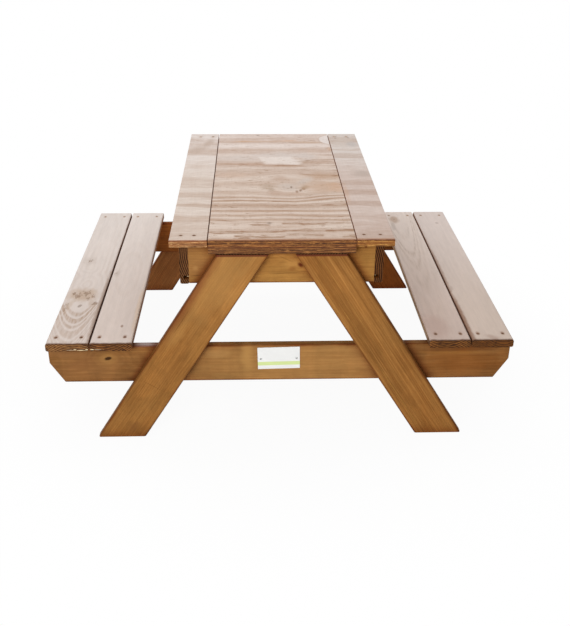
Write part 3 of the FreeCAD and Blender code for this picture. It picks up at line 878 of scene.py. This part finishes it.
plywood("lid_panel", 2.3, PALE, TAN, LID_GROWTH,
    dict(light=tone(146, 89, 41), dark=tone(60, 28, 11), glow=tone(190, 130, 66),
         levels={0: 0.82, 0.3: 0.78, 0.42: 0.82, 0.53: 0.7, 0.62: 0.84, 0.75: 0.82, 0.88: 0.67, 1: 0.72},
         run_tint={-154: 0.92, -130: 1.12, -60: 1.1, 0: 1.06, 40: 0.94, 154: 1}), line_reach=13,
    rise=[(25, 150, -142, 34, 19), (40, 70, 312, 16, -9)],
    spots=[(-84, 320, 26, 6, 0, tone(198, 158, 126), 0.75), (-40, 320, 90, 6, 0, tone(198, 164, 138), 0.4),
           (90, 310, 46, 8, 0, tone(190, 158, 132), 0.55), (40, 326, 22, 5, 0, ORANGE, 0.5),
           (112, -62, 46, 40, 0, tone(200, 170, 148), 0.8), (142, -64, 20, 34, 0, ORANGE, 0.3),
           (118, 14, 48, 24, 0, tone(188, 154, 128), 0.7), (151, 250, 8, 20, 0, ORANGE, 0.3),
           (146, 188, 26, 3, 0, BROWNED, 0.7), (148, 152, 18, 4, 0, BROWNED, 0.5),
           (-110, 26, 50, 18, 0, tone(204, 172, 150), 0.35), (20, 192, 70, 26, 0, GREYED, 0.7),
           (84, 178, 22, 34, 8, GREYED, 0.6), (-95, 165, 62, 26, 0, GREYED, 0.6),
           (-70, 113, 42, 11, -4, tone(192, 158, 138), 0.5), (-118, 120, 14, 5, 0, BROWNED, 0.6),
           (-95, 88, 60, 4, 6, PALE, 0.5), (84, 143, 7, 6, 0, tone(160, 130, 108), 0.75),
           (76, 128, 9, 8, 0, tone(168, 140, 118), 0.6), (110, 132, 36, 14, 0, BROWNED, 0.5),
           (18, 96, 46, 12, 0, BROWNED, 0.7), (124, 66, 34, 3, 0, PALE, 0.5),
           (120, 92, 34, 3, 0, PALE, 0.4), (4, 2, 16, 22, 0, BROWNED, 0.45),
           (-24, -62, 16, 22, 12, tone(186, 164, 146), 0.7), (-16, -84, 8, 12, 0, tone(176, 154, 134), 0.6),
           (-6, -108, 18, 20, 0, tone(190, 162, 144), 0.7), (36, -112, 22, 12, 0, tone(192, 162, 142), 0.6),
           (66, -20, 12, 30, -30, GREYED, 0.8), (22, -64, 22, 26, 20, GREYED, 0.8),
           (32, -66, 2.2, 7, 0, tone(140, 122, 112), 0.9), (44, -99, 4, 8, 0, tone(150, 114, 88), 0.85),
           (53, -90, 3, 9, -10, tone(140, 108, 84), 0.85), (61, -77, 4, 9, 0, tone(146, 114, 88), 0.85),
           (64, -68, 9, 15, -20, tone(178, 148, 122), 0.75), (-118, -365, 30, 12, 0, PALE, 0.8),
           (0, -322, 60, 7, 0, BROWNED, 0.5), (-110, -320, 50, 12, 0, PALE, 0.4),
           (-120, -78, 34, 9, 0, PALE, 0.6), (128, 109, 28, 6, 0, PALE, 0.55),
           (118, 196, 30, 6, 0, BROWNED, 0.4), (110, 226, 34, 10, 0, BROWNED, 0.35)],
    arches=[(24, -46, 64, 70, 0.78)], lenses=[(160, 337, 33, 45)],
    patch=[(-46, 176), (38, 177), (68, 134), (62, 107), (-22, 116), (-38, 140)],
    shift=((0.96, 0.94, 0.91), (1.07, 1.1, 1.14)),
    roughs=[(-347, 4, -150, -84, 1), (-354, 4, -140, -84, 1.1), (-345, 5, -84, 5, 0.85),
            (-338, 5, 5, 62, 0.9), (-344, 4, 58, 104, 0.7), (-331, 4, 44, 92, 0.6), (-342, 6, 96, 154, 1.1),
            (-371, 6, -95, -62, 1.1), (-381, 4, -86, -72, 1.1), (-374, 5, -54, 2, 1.1),
            (-366, 3, 2, 34, 0.7), (-359, 6, 16, 52, 0.7), (-367, 6, 48, 84, 0.9), (-377, 6, 130, 154, 0.9),
            (-368, 4, 144, 154, 0.9), (-301, 6, 6, 44, 1.1), (-304, 6, 46, 92, 1.1),
            (-299, 5, 92, 154, 0.6), (-310, 5, -60, -28, 0.9), (-283, 5, -154, -100, 0.7),
            (-258, 5, 20, 140, 0.5), (-190, 9, -154, 154, 0.5), (-160, 5, -120, 40, 0.5),
            (112, 11, -126, -36, 0.5), (134, 11, 60, 154, 0.5), (98, 8, -30, 66, 0.8),
            (152, 5, 100, 154, 0.6), (190, 4, 120, 154, 0.7), (60, 8, -150, 150, 0.35),
            (242, 8, 20, 154, 0.3), (20, 9, 60, 154, 0.5)], specks=[(-45, 381, 4), (-25, -299, 5)])
BATTEN_GROWTH = {-396: 0.5, 396: 0.5}
for node in ("lid_batten_front", "lid_batten_rear"):
    plywood(node, 5.1, PALE, TAN, BATTEN_GROWTH,
            dict(light=tone(138, 84, 39), dark=tone(80, 42, 18), glow=tone(170, 116, 60),
                 levels={0: 0.45, 0.14: 0.54, 0.3: 0.71, 0.6: 0.77, 1: 0.71}))
LEFT_EDGE = dict(light=tone(176, 119, 70), dark=tone(112, 65, 35), glow=tone(208, 160, 106),
                 levels={0: 0.52, 0.12: 0.64, 0.3: 0.88, 1: 0.88})
RIGHT_EDGE = dict(light=tone(173, 114, 50), dark=tone(116, 62, 23), glow=tone(220, 160, 84),
                  levels={0: 0.45, 0.12: 0.57, 0.3: 0.92, 0.6: 0.94, 0.75: 0.75, 1: 0.62})
plywood("top_strip_left", 8.4, PALE, TAN,
    {-396: 0.45, -330: 0.45, -300: 0.35, -292: 0.5, -262: 0.5, -252: 0.15, -198: 0.1, -190: 0.5, -170: 0.6,
     -160: 0.15, -135: 0.15, -122: 0.5, -100: 0.5, -88: 0.15, -68: 0.1, -56: 0.4, -24: 0.35, -10: 0.45,
     6: 0.4, 26: 0.15, 60: 0.1, 120: 0.2, 195: 0.15, 210: 0.6, 240: 0.65, 270: 0.4, 300: 0.6, 335: 0.55,
     348: 0.2, 396: 0.35}, LEFT_EDGE, line=tone(122, 66, 40), warp=(0.04, 0.009), lines=0.3,
    spots=[(-181, 302, 11, 40, -12, tone(184, 158, 140), 0.85),
           (-207, 242, 20, 34, -25, tone(184, 158, 140), 0.75), (-204, 160, 34, 24, 0, PALE, 0.25),
           (-200, 98, 30, 16, 0, BROWNED, 0.3)], shift=((0.99, 1.01, 1.01), (1.11, 1.2, 1.29)),
    specks=[(-170, 372, 3)])
plywood("top_strip_right", 11.7, PALE, TAN,
    {-396: 0.5, -330: 0.45, -300: 0.4, -284: 0.3, -262: 0.4, -235: 0.2, -196: 0.15, -189: 0.6, -163: 0.6,
     -157: 0.15, -130: 0.15, -119: 0.55, -92: 0.55, -84: 0.2, -62: 0.2, -50: 0.5, -30: 0.45, -12: 0.25,
     14: 0.3, 60: 0.25, 100: 0.2, 158: 0.2, 166: 0.6, 198: 0.55, 210: 0.3, 224: 0.25, 238: 0.5, 250: 0.45,
     262: 0.25, 280: 0.35, 310: 0.62, 340: 0.62, 360: 0.4, 396: 0.4}, RIGHT_EDGE, line=tone(84, 36, 12),
    line_reach=13, warp=(0.018, 0.006), lines=0.3, shift=((0.91, 0.89, 0.9), (1.05, 1.16, 1.25)),
    spots=[(212, 36, 24, 26, 0, tone(194, 176, 163), 0.85), (214, 292, 14, 22, 0, tone(184, 168, 158), 0.7),
           (194, -2, 34, 6, 14, PALE, 0.5), (186, -288, 26, 6, -20, PALE, 0.5),
           (160, -110, 6, 60, 0, ORANGE, 0.3)], specks=[(175, 366, 3), (174, 352, 3), (210, 356, 3)])
plywood("box_base", 15.2, tone(206, 170, 128), tone(170, 126, 84),
    {-396: 0.4, -200: 0.6, 0: 0.3, 200: 0.6, 396: 0.4},
    dict(light=tone(226, 200, 160), dark=tone(190, 152, 108), glow=tone(236, 214, 176)), warp=(0.04, 0.01))


# Name plate: bare white with a plain pale green band, that goes from so far to so far above its middle
PLATE_TILT = math.radians(1.2)
BAND = (-17.8 * MM, -9.2 * MM)
BAND_SOFTNESS = 0.6 * MM


def plate_material():
    g = Graph("name_plate")
    low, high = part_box("name_plate")
    up = Vector((-math.sin(PLATE_TILT), 0, math.cos(PLATE_TILT)))
    rise = g.dot(g.position, up) - ((low + high) / 2).dot(up)
    bottom, top = BAND
    band = g.smooth(rise, bottom - BAND_SOFTNESS, bottom) * g.smooth(rise, top + BAND_SOFTNESS, top)
    grime = g.noise(g.position * 60, detail=3)
    colour = g.mix(band, tone(231, 231, 229), tone(207, 222, 150))
    return g.finish(g.shade(colour, g.smooth(grime, 0.2, 0.8, 0.96, 1)), 0.35, specular=0.5)


dress("name_plate", plate_material())


# Screws: turned heads with a cross recess, on shanks that taper to a point
def steel(name, front, rear, metallic, roughness):
    """Screw metal, from one colour at the front end to another, lighter, at the rear."""
    g = Graph(name)
    wear = g.noise(g.position * 420, detail=3)
    g.shader.inputs["Metallic"].default_value = metallic
    colour = g.mix(g.smooth(g.y, -0.3, 0.3), front, rear)
    return g.finish(g.shade(colour, g.smooth(wear, 0.2, 0.8, 0.75, 1.12)),
                    g.smooth(wear, 0.2, 0.8, roughness, roughness + 0.25))


dull_steel = steel("screw_metal", tone(134, 102, 80), tone(192, 160, 132), 0.35, 0.5)
bright_steel = steel("plate_screw_metal", tone(196, 196, 194), tone(196, 196, 194), 0.7, 0.35)

SEGMENTS = 24
STEP = 2 * math.pi / SEGMENTS

# Half-length and half-width of the recess's arms, and the head's outline from its top as (radius, depth),
# all in head radiuses. The outline then meets the shank at the last depth
ARM = (0.56, 0.15)
ROUND_HEAD = [(0.72, 0.16), (0.9, 0.36), (1, 0.62), (1, 0.7)]
ROUND_HEAD_DEPTH = 0.72
FLAT_HEAD = [(0.9, 0), (0.98, 0.05), (1, 0.14)]
FLAT_HEAD_DEPTH = 1.05


def build_screws(node, round_head, material):
    """Puts turned screws in the place of a node's plain ones."""
    mesh = bmesh.new()
    for number, screw in enumerate(screws[node]):
        turn = random.Random(f"{node} {number}").uniform(0, math.pi / 2)
        side = screw.into.orthogonal().normalized()
        other = screw.into.cross(side)

        def ring_point(radius, angle, depth):
            flat = side * math.cos(angle + turn) + other * math.sin(angle + turn)
            return mesh.verts.new(screw.head + flat * radius + screw.into * depth)

        radius, shank, length = screw.radius, screw.shank, screw.length
        arm, width = (part * radius for part in ARM)
        plus = []
        for quarter in range(4):
            for px, py in ((arm, -width), (arm, width), (width, width)):
                plus.append((math.hypot(px, py), quarter * math.pi / 2 + math.atan2(py, px)))
        top_depth = 0.12 * radius if round_head else 0
        upper = [ring_point(r, angle, top_depth) for r, angle in plus]
        lower = [ring_point(0.72 * r, angle, 0.55 * radius) for r, angle in plus]
        floor_point = ring_point(0, 0, 0.62 * radius)

        outline, head_depth = (ROUND_HEAD, ROUND_HEAD_DEPTH) if round_head else (FLAT_HEAD, FLAT_HEAD_DEPTH)
        profile = [(r * radius, depth * radius) for r, depth in outline]
        profile += [(shank, head_depth * radius), (shank, length - 2.2 * shank),
                    (0.55 * shank, length - 0.9 * shank), (0.12 * shank, length)]
        rings = [[ring_point(r, STEP * (i - 1), depth) for i in range(SEGMENTS)] for r, depth in profile]
        for ring, following in zip(rings, rings[1:]):
            for i in range(SEGMENTS):
                j = (i + 1) % SEGMENTS
                mesh.faces.new((ring[i], ring[j], following[j], following[i]))
        mesh.faces.new(rings[-1])

        # The head's top, between the recess and the first ring, and the recess itself
        rim = rings[0]
        for i in range(len(plus)):
            j = (i + 1) % len(plus)
            a, b, c = rim[2 * i], rim[(2 * i + 1) % SEGMENTS], rim[(2 * i + 2) % SEGMENTS]
            mesh.faces.new((upper[i], a, b))
            mesh.faces.new((upper[i], b, c, upper[j]))
            mesh.faces.new((upper[j], lower[j], lower[i], upper[i]))
            mesh.faces.new((lower[j], floor_point, lower[i]))
    bmesh.ops.recalc_face_normals(mesh, faces=mesh.faces)
    data = bpy.data.meshes.new(f"{node}_turned")
    mesh.to_mesh(data)
    mesh.free()
    piece = bpy.data.objects.new(f"{node}_turned", data)
    bpy.context.scene.collection.objects.link(piece)
    data.materials.append(material)
    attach(piece, "table")
    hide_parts(node)


for node in screws:
    if node == "name_plate_screws":
        build_screws(node, True, bright_steel)
    else:
        build_screws(node, False, dull_steel)


# Stage: a pale floor that whitens away from the object and keeps its soft shadow
FLOOR_HALF = 20
FLOOR_WHITE_FROM = 0.4
FLOOR_WHITE_AT = 1
FLOOR_GLOW = 0.94


def seen_directly(tree):
    """1 for what the camera sees, itself or by a gloss or through a clear surface."""
    path = tree.nodes.new("ShaderNodeLightPath")
    total = path.outputs["Is Camera Ray"]
    for name in ("Is Glossy Ray", "Is Transmission Ray"):
        most = tree.nodes.new("ShaderNodeMath")
        most.operation = "MAXIMUM"
        tree.links.new(total, most.inputs[0])
        tree.links.new(path.outputs[name], most.inputs[1])
        total = most.outputs[0]
    return total


def floor_plane():
    mesh = bpy.data.meshes.new("floor")
    corners = [(x * FLOOR_HALF, y * FLOOR_HALF, 0) for x, y in ((-1, -1), (1, -1), (1, 1), (-1, 1))]
    mesh.from_pydata(corners, [], [(0, 1, 2, 3)])
    floor = bpy.data.objects.new("floor", mesh)
    bpy.context.scene.collection.objects.link(floor)
    g = Graph("floor")
    g.finish((0.8, 0.8, 0.8, 1), 1, specular=0)
    away = g.math("SQRT", g.dot(g.position, g.position))
    whitened = g.smooth(away, FLOOR_WHITE_FROM, FLOOR_WHITE_AT, FLOOR_GLOW, 1)
    glow = g.tree.nodes.new("ShaderNodeEmission")
    seen = g.tree.nodes.new("ShaderNodeMixShader")
    g.put(seen.inputs[0], whitened * Value(g, seen_directly(g.tree)))
    g.tree.links.new(g.shader.outputs[0], seen.inputs[1])
    g.tree.links.new(glow.outputs[0], seen.inputs[2])
    g.tree.links.new(seen.outputs[0], g.tree.nodes["Material Output"].inputs["Surface"])
    mesh.materials.append(g.material)


floor_plane()


# Light: a pale surround, a large soft lamp overhead to the left and a weaker one in front
def lamp(name, place, target, size, power):
    data = bpy.data.lights.new(name, "AREA")
    data.shape = "SQUARE"
    data.size = size
    data.energy = power
    light = bpy.data.objects.new(name, data)
    light.location = place
    light.rotation_euler = (Vector(target) - Vector(place)).to_track_quat("-Z", "Y").to_euler()
    bpy.context.scene.collection.objects.link(light)


lamp("key", (-0.25, 0.65, 2.5), (0, 0.1, 0.3), 2.2, 20)
lamp("front", (-1, -2.6, 1.3), (0, 0, 0.25), 1.6, 44)

# The surround lights the wood with less than the full white that the camera sees
SURROUND_LIGHT = 0.54

world = bpy.data.worlds.new("studio")
bpy.context.scene.world = world
world.use_nodes = True
surround = world.node_tree.nodes["Background"]
strength = world.node_tree.nodes.new("ShaderNodeMapRange")
strength.inputs["To Min"].default_value = SURROUND_LIGHT
strength.inputs["To Max"].default_value = 1
world.node_tree.links.new(seen_directly(world.node_tree), strength.inputs["Value"])
world.node_tree.links.new(strength.outputs[0], surround.inputs["Strength"])
surround.inputs["Color"].default_value = (1, 1, 1, 1)


# Camera, fitted to the photograph's frame of 570 by 626 pixels
FOCAL_PIXELS = 864.92
FRAME_HEIGHT = 626
SENSOR = 36
CAMERA_AT = Vector((-0.059455, -2.041661, 1.169717))
YAW = -0.040157
PITCH = -0.477824
ROLL = 0.009839


def make_camera():
    data = bpy.data.cameras.new("camera")
    data.sensor_width = SENSOR
    data.lens = FOCAL_PIXELS * SENSOR / FRAME_HEIGHT
    data.clip_end = 100
    camera = bpy.data.objects.new("camera", data)
    bpy.context.scene.collection.objects.link(camera)
    forward = Vector((-math.sin(YAW) * math.cos(PITCH), math.cos(YAW) * math.cos(PITCH), math.sin(PITCH)))
    level = Vector((math.cos(YAW), math.sin(YAW), 0))
    upward = level.cross(forward)
    right = level * math.cos(ROLL) + upward * math.sin(ROLL)
    up = upward * math.cos(ROLL) - level * math.sin(ROLL)
    turn = Matrix((right, up, -forward)).transposed()
    camera.matrix_world = Matrix.Translation(CAMERA_AT) @ turn.to_4x4()
    bpy.context.scene.camera = camera


make_camera()
bpy.context.scene.view_settings.view_transform = "Standard"
